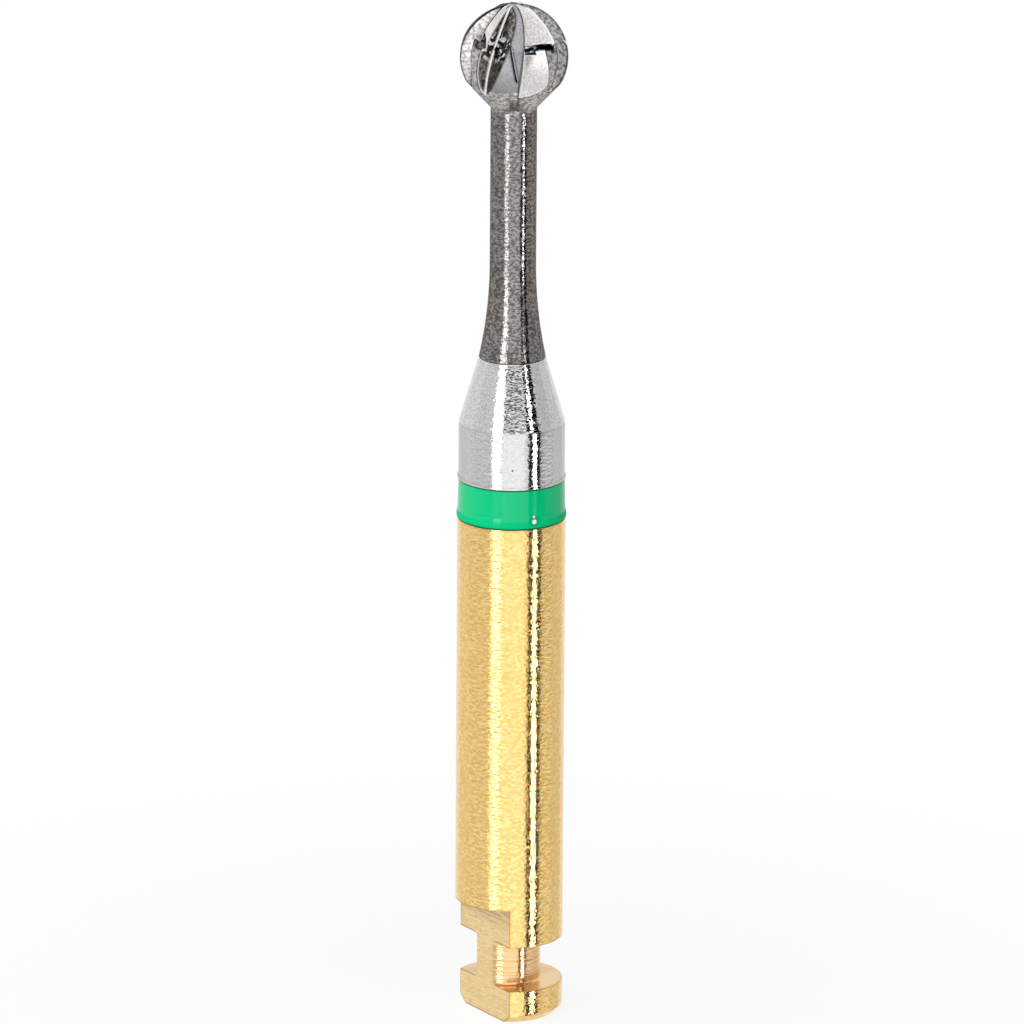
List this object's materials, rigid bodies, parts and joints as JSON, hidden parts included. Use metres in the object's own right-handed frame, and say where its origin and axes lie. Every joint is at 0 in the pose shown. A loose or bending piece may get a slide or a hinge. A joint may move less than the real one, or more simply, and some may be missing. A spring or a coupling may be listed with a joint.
{
  "type": "dental bur",
  "caption": "Latch-type dental round bur: fluted carbide ball on a slim neck, stepped steel shank with a green ring, locking groove and drive flat.",
  "frame": {"origin": "centre of the latch end face, on the bur's axis", "axes": "+Z along the axis from the latch end to the cutting head; -Y is the outward normal of the drive flat"},
  "size_m": [0.0024, 0.0024, 0.0227],
  "materials": {
    "tungsten_carbide": "ground",
    "gold_plated_steel": "satin",
    "green_enamel": "gloss"
  },
  "bodies": {
    "root": {"carbide_head": "tungsten_carbide", "latch_shank": "gold_plated_steel", "colour_ring": "green_enamel"}
  },
  "joints": []
}
